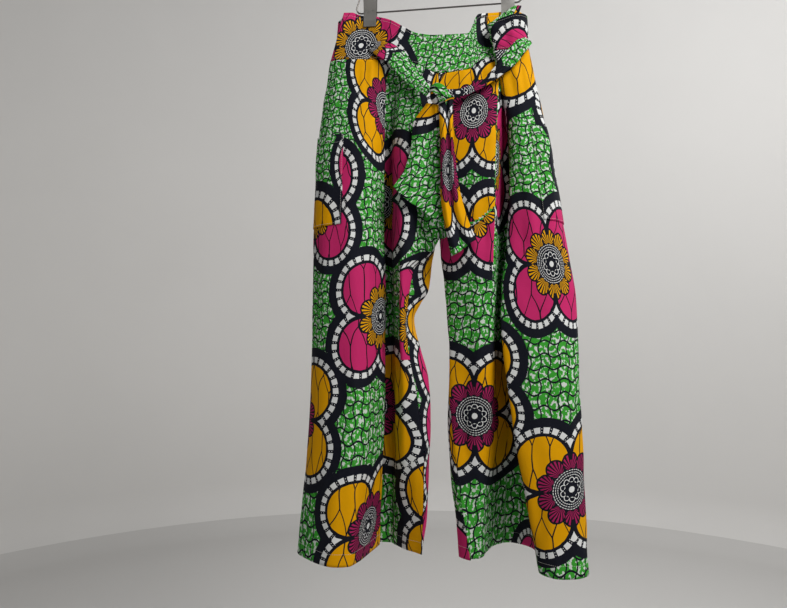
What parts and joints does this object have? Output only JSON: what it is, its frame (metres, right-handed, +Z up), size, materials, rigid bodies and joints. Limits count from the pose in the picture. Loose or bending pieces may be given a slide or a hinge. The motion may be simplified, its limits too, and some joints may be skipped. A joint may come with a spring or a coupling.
{
  "type": "wrap pants on a clip hanger",
  "caption": "Wide-leg wax-print wrap pants with a tied sash, patch pockets and elastic back waist, hung by the waistband from a wire clip hanger.",
  "frame": {"origin": "inside top of the hanger's hook, where a rail holds it", "axes": "+X to the viewer's right, the front of the garment faces -Y, +Z up from the hems to the hook"},
  "size_m": [0.5282, 0.2092, 1.1254],
  "materials": {
    "wax_print": "crisp waxed cotton",
    "sash_print": "crisp waxed cotton",
    "wire": "satin",
    "clip_steel": "satin"
  },
  "bodies": {
    "root": {"right_front_panel": "wax_print", "left_front_panel": "wax_print", "right_back_panel": "wax_print", "left_back_panel": "wax_print", "front_waistband": "wax_print", "back_waistband": "wax_print", "right_patch_pocket": "wax_print", "left_patch_pocket": "wax_print", "sash_right_strap": "sash_print", "sash_left_strap": "sash_print", "sash_knot": "sash_print", "sash_right_tail": "sash_print", "sash_left_tail": "sash_print", "hanger_frame": "wire", "hanger_hook": "wire", "clip_right_front": "clip_steel", "clip_right_rear": "clip_steel", "clip_right_spring": "clip_steel", "clip_left_front": "clip_steel", "clip_left_rear": "clip_steel", "clip_left_spring": "clip_steel"}
  },
  "joints": []
}
